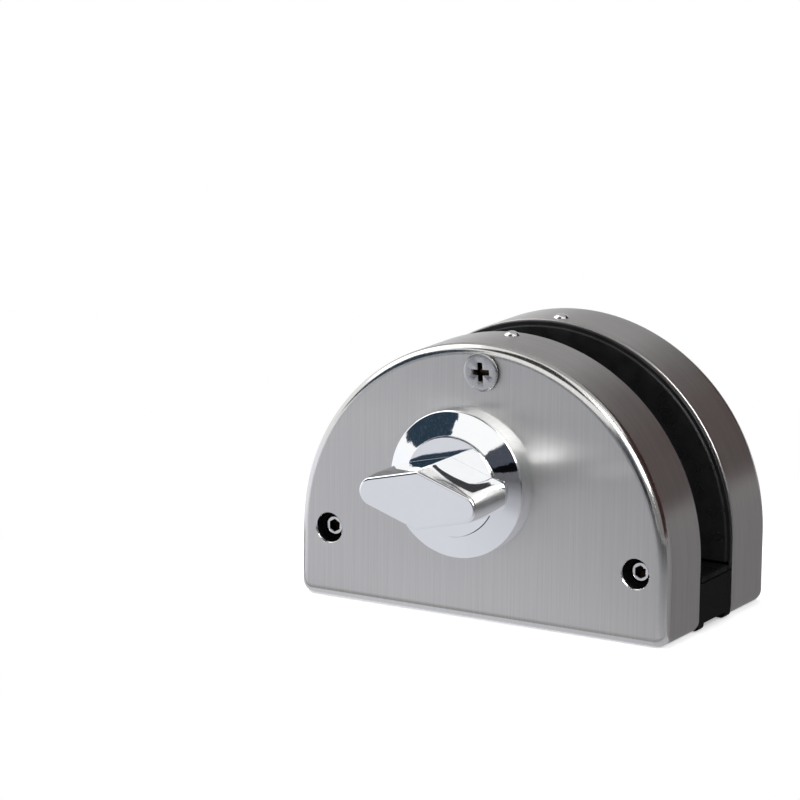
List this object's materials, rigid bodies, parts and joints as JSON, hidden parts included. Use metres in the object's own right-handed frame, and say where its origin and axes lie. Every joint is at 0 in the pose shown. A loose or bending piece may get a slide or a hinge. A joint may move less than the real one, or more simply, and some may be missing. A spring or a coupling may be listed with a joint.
{
  "type": "glass door lock",
  "caption": "Half-round clamp lock for the edge of a frameless glass door leaf, with a thumbturn that drives a sliding deadbolt through a pinion and rack.",
  "frame": {"origin": "on the flat closing side, midway along it, on the mid-plane of the glass", "axes": "+X along the closing side, to the right as seen from the thumbturn side; +Y from the thumbturn side to the plain side, square to the glass; +Z away from the closing side, into the glass leaf"},
  "size_m": [0.09, 0.0717, 0.0617],
  "materials": {
    "cover_steel": "vertical satin grain on the face, plain satin on the rim",
    "polished_chrome": "polished",
    "black_casting": "matt black",
    "pad_rubber": "matt black",
    "plated_steel": "zinc plated",
    "bright_steel": "bright",
    "bolt_steel": "bright plated",
    "bush_brass": "turned"
  },
  "bodies": {
    "housing": {"front_cover": "cover_steel", "front_chassis": "black_casting", "front_clamp_plate": "plated_steel", "front_pad": "pad_rubber", "front_clamp_screws": "plated_steel", "front_cover_screw": "bright_steel", "front_rim_stud": "bright_steel", "front_spine_screws": "plated_steel", "rear_cover": "cover_steel", "rear_chassis": "black_casting", "rear_clamp_plate": "plated_steel", "rear_pad": "pad_rubber", "rear_clamp_screws": "plated_steel", "rear_cover_screw": "bright_steel", "rear_rim_stud": "bright_steel", "rear_spine_screws": "plated_steel", "spine": "black_casting", "glass_edge_cushion": "pad_rubber", "mechanism_plate": "plated_steel", "mechanism_plate_screws": "plated_steel", "stop_pin": "plated_steel", "rosette": "polished_chrome", "shank_bush": "bush_brass", "friction_washer": "bright_steel"},
    "thumbturn": {"thumbturn": "polished_chrome", "spindle": "plated_steel", "drive_pinion": "plated_steel", "spindle_clip": "bright_steel"},
    "deadbolt": {"deadbolt": "bolt_steel"}
  },
  "joints": [
    {"name": "thumbturn_turn", "type": "hinge", "parent": "housing", "child": "thumbturn", "pos_m": [-0.0033, -0.0245, 0.0308], "axis": [0, 1, 0], "range_deg": [-2.3, 87.7]},
    {"name": "deadbolt_slide", "type": "slide", "parent": "housing", "child": "deadbolt", "axis": [0, 0, -1], "range_m": [-0.0003, 0.0108]}
  ],
  "couplings": [
    {"joint": "deadbolt_slide", "follows": "thumbturn_turn", "m_per_rad": 0.007}
  ]
}
